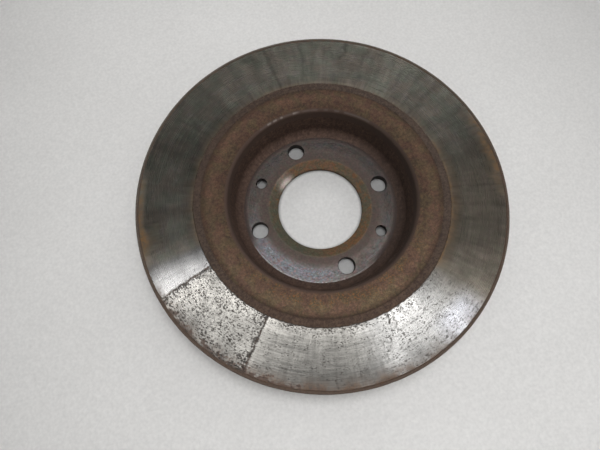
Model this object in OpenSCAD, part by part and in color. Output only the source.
// Ventilated front brake disc with a hollow hat, cast in one piece of grey iron.
//
// Frame: the origin is the centre of the hub seat (the flange face inside the
// hollow hat). +Z is the axis of rotation and points inboard, out of the hollow
// side. One wheel-bolt hole lies on +X. Millimetres.
//
// The real disc is a single casting. Each node below is one named region of it,
// a closed solid that meets its neighbours on shared faces and never overlaps.
//
// Suffixes: _d diameter, _r radius, _t thickness, _h height, _w width, _z level.

/* [Friction rings] */
// Outside diameter of the disc
disc_d = 288; // [285:0.5:291]
// Thickness over both friction rings when new
disc_t = 28; // [27:0.5:29]
// Thickness of each friction ring when new
plate_t = 9; // [8.5:0.25:9.5]
// Depth the pads have worn into each side
wear = 0.8; // [0.2:0.1:0.9]
// Width of the unworn lip left at the outer edge
lip_w = 2; // [1.5:0.1:3]
// Chamfer on the outer corners
edge_chamfer = 0.8; // [0.4:0.1:1.2]
// Inner diameter of the band swept by the inboard pad
swept_in_d = 199; // [195:0.5:203]
// Inner diameter of the inboard friction ring
ring_in_d = 187.8; // [187:0.2:190]
// Inner diameter of the outboard friction ring
outboard_in_d = 180; // [176:1:184]
// Inner diameter of the band swept by the outboard pad
outboard_swept_in_d = 198; // [192:1:202]

/* [Cooling vanes] */
// Number of vanes between the rings
vane_count = 40; // [32:1:42]
// Thickness of a vane at its inner end
vane_in_t = 4; // [3:0.25:4.5]
// Thickness of a vane at its outer end
vane_out_t = 6.4; // [5:0.2:7]
// Radius at which the vanes begin
vane_in_r = 92.5; // [92:0.5:95]
// How far the vanes stop short of the outer edge
vane_back = 1.6; // [1:0.1:3]

/* [Hat] */
// Height from the wheel seat to the inboard friction face
overall_h = 35; // [34:0.5:36]
// Inside diameter of the hollow just above its corner fillet
hollow_d = 142; // [141:0.2:143]
// Fillet radius between the hub seat and the hat wall
hollow_fillet = 7; // [5:0.5:8]
// Draft of the inside of the hat wall, in degrees
hollow_draft = 7.5; // [5:0.5:8]
// Outside diameter of the hat at its closed end
hat_d = 154; // [152:0.2:156]
// Draft of the outside of the hat wall, in degrees
hat_draft = 4; // [2:0.5:4.5]
// Corner radius at the closed end of the hat
hat_round = 3; // [1:0.5:4]
// Height of the neck ring above the new friction face
neck_rise = 0.6; // [0.4:0.1:1.5]
// Radius that rolls the neck ring over into the hollow
neck_round = 4; // [3:0.5:5]
// Fillet between the outside of the hat and the back of the neck ring
neck_fillet = 4; // [2:0.5:4]

/* [Hub flange] */
// Thickness of the mounting flange
flange_t = 6.5; // [6:0.25:8]
// Diameter of the centring bore
bore_d = 71; // [70.5:0.1:72]
// Diameter of the wide lead-in cone on the hub side of the bore
bore_lead_d = 84.6; // [79:0.2:86]
// Depth of the lead-in cone
bore_lead_h = 3; // [2:0.25:3.5]
// Small chamfer on the wheel side of the bore
bore_chamfer = 0.5; // [0.3:0.1:1]
// Pitch circle diameter of the wheel-bolt holes
bolt_pcd = 108; // [107:0.5:109]
// Number of wheel-bolt holes
bolt_count = 4; // [4:1:4]
// Diameter of a wheel-bolt hole
bolt_hole_d = 13.6; // [12.5:0.1:14.5]
// Pitch circle diameter of the retaining-screw holes
screw_pcd = 108; // [106:0.5:109]
// Diameter of a retaining-screw hole
screw_hole_d = 8.8; // [8.4:0.1:9.4]
// Diameter of the countersink for a retaining screw, on the wheel side
screw_sink_d = 15; // [13:0.5:16]

/* [Hidden] */

// Levels along the axis, with the friction faces as new
wheel_seat_z = -flange_t;
inboard_z = overall_h - flange_t;
inboard_back_z = inboard_z - plate_t;
outboard_z = inboard_z - disc_t;
outboard_back_z = outboard_z + plate_t;
neck_z = inboard_z + neck_rise;

disc_r = disc_d / 2;
ring_in_r = ring_in_d / 2;
hub_r = hollow_d / 2 - hollow_fillet;   // edge of the flat hub seat

// Small details of the friction rings
lip_r = disc_r - lip_w;        // inner edge of the unworn lip
lip_slope = 0.3;               // radial run from the lip down to the worn band
swept_slope = 0.4;             // radial run at the inner edge of the worn band
swept_drop = 0.05;             // drop of the inboard face at that edge
back_chamfer = 0.4;            // outer corner on the back of each ring
inner_chamfer = [0.8, 0.4];    // inboard ring's inner corner: run, drop
outboard_round = 2;            // both inner corners of the outboard ring

// Groove at the foot of the neck ring, and the neck ring's outer flank
groove_h = 1.2;
groove_w = 1.3;
neck_lean = 0.4;
neck_outer_round = 1.2;

screw_count = 2;
screw_angle = 135;             // of the first screw hole, from +X
sink_tip_gap = 0.4;            // countersink tip is this much narrower than the hole
overcut = 1;                   // how far cutters pass the flange faces

arc_steps = 10;                // straight steps in a profile arc
turned_fn = 180;
hole_fn = 64;

// Inside radius of the hat wall at height z
function hollow_r(z) = hollow_d / 2 + (z - hollow_fillet) * tan(hollow_draft);

// Outside radius of the hat wall at height z
function hat_r(z) = hat_d / 2 + (z - wheel_seat_z - hat_round) * tan(hat_draft);

// Points along an arc about centre, between two angles
function arc(centre, radius, from, to) = [
    for (i = [0 : arc_steps])
        let (angle = from + (to - from) * i / arc_steps)
        centre + radius * [cos(angle), sin(angle)]
];

// A ring with the given radius-height profile
module turned(profile) {
    rotate_extrude($fn = turned_fn) polygon(profile);
}

// Copies of the children, evenly spaced on a pitch circle
module on_pitch_circle(pcd, count, start = 0) {
    for (i = [0 : count - 1])
        rotate([0, 0, start + i * 360 / count])
            translate([pcd / 2, 0, 0])
                children();
}

// Ring swept by the inboard pad, on the hollow side
module inboard_friction_ring() {
    swept_r = swept_in_d / 2;
    color("#6b6a64") turned([
        [ring_in_r, inboard_back_z],
        [disc_r - back_chamfer, inboard_back_z],
        [disc_r, inboard_back_z + back_chamfer],
        [disc_r, inboard_z - edge_chamfer],
        [disc_r - edge_chamfer, inboard_z],
        [lip_r, inboard_z],
        [lip_r - lip_slope, inboard_z - wear],
        [swept_r, inboard_z - wear],
        [swept_r - swept_slope, inboard_z - swept_drop],
        [ring_in_r + inner_chamfer[0], inboard_z - inner_chamfer[1]],
        [ring_in_r, inboard_z - groove_h]
    ]);
}

// Ring swept by the outboard pad, on the wheel side
module outboard_friction_ring() {
    round_r = outboard_in_d / 2 + outboard_round;   // centre of the inner rounds
    swept_r = outboard_swept_in_d / 2;
    color("#6b6a64") turned(concat(
        [[swept_r - swept_slope, outboard_z],
         [swept_r, outboard_z + wear],
         [lip_r - lip_slope, outboard_z + wear],
         [lip_r, outboard_z],
         [disc_r - edge_chamfer, outboard_z],
         [disc_r, outboard_z + edge_chamfer],
         [disc_r, outboard_back_z - back_chamfer],
         [disc_r - back_chamfer, outboard_back_z]],
        arc([round_r, outboard_back_z - outboard_round], outboard_round, 90, 180),
        arc([round_r, outboard_z + outboard_round], outboard_round, 180, 270)
    ));
}

// One vane along +X: tapered, with rounded ends
module vane() {
    nose = vane_in_t / 2;
    tail = vane_out_t / 2;
    translate([0, 0, outboard_back_z])
        linear_extrude(inboard_back_z - outboard_back_z)
            polygon(concat(
                arc([vane_in_r + nose, 0], nose, 270, 90),
                arc([disc_r - vane_back - tail, 0], tail, 90, -90)
            ));
}

// The vanes that hold the two rings apart; +X falls midway between two
module cooling_vanes() {
    color("#5a4437")
        for (i = [0 : vane_count - 1])
            rotate([0, 0, (i + 0.5) * 360 / vane_count]) vane();
}

// Web between the open end of the hat and the inboard ring
module hat_neck_ring() {
    roll_z = neck_z - neck_round;
    flank_r = ring_in_r - groove_w - neck_lean;
    flank_z = neck_z - neck_outer_round;
    color("#55443a") turned(concat(
        [[hollow_r(inboard_back_z), inboard_back_z],
         [ring_in_r, inboard_back_z],
         [ring_in_r, inboard_z - groove_h],
         [ring_in_r - groove_w, inboard_z - groove_h],
         [flank_r, flank_z]],
        arc([flank_r - neck_outer_round, flank_z], neck_outer_round, 30, 90),
        arc([hollow_r(roll_z) + neck_round, roll_z], neck_round, 90, 180 - hollow_draft)
    ));
}

// Side wall of the hat, with the corner at its closed end
module hat_wall() {
    fillet_z = inboard_back_z - neck_fillet;
    color("#372a26") turned(concat(
        [[hub_r, wheel_seat_z]],
        arc([hat_d / 2 - hat_round, wheel_seat_z + hat_round], hat_round, 270, 360),
        arc([hat_r(fillet_z) + neck_fillet, fillet_z], neck_fillet, 180, 90),
        [[hollow_r(inboard_back_z), inboard_back_z]],
        arc([hub_r, hollow_fillet], hollow_fillet, 0, -90)
    ));
}

// Cutter for a straight hole through the flange
module through_hole(diameter) {
    translate([0, 0, wheel_seat_z - overcut])
        cylinder(d = diameter, h = flange_t + 2 * overcut, $fn = hole_fn);
}

// Cutter for the 90-degree countersink on the wheel side
module countersink() {
    wide_d = screw_sink_d + 2 * overcut;
    tip_d = screw_hole_d - sink_tip_gap;
    translate([0, 0, wheel_seat_z - overcut])
        cylinder(d1 = wide_d, d2 = tip_d, h = (wide_d - tip_d) / 2, $fn = hole_fn);
}

// Flat flange with the centring bore, wheel-bolt holes and screw holes
module hub_flange() {
    bore_r = bore_d / 2;
    color("#6f6f70") difference() {
        turned([
            [bore_r, wheel_seat_z + bore_chamfer],
            [bore_r + bore_chamfer, wheel_seat_z],
            [hub_r, wheel_seat_z],
            [hub_r, 0],
            [bore_lead_d / 2, 0],
            [bore_r, -bore_lead_h]
        ]);
        on_pitch_circle(bolt_pcd, bolt_count) through_hole(bolt_hole_d);
        on_pitch_circle(screw_pcd, screw_count, screw_angle) {
            through_hole(screw_hole_d);
            countersink();
        }
    }
}

inboard_friction_ring();
outboard_friction_ring();
cooling_vanes();
hat_neck_ring();
hat_wall();
hub_flange();
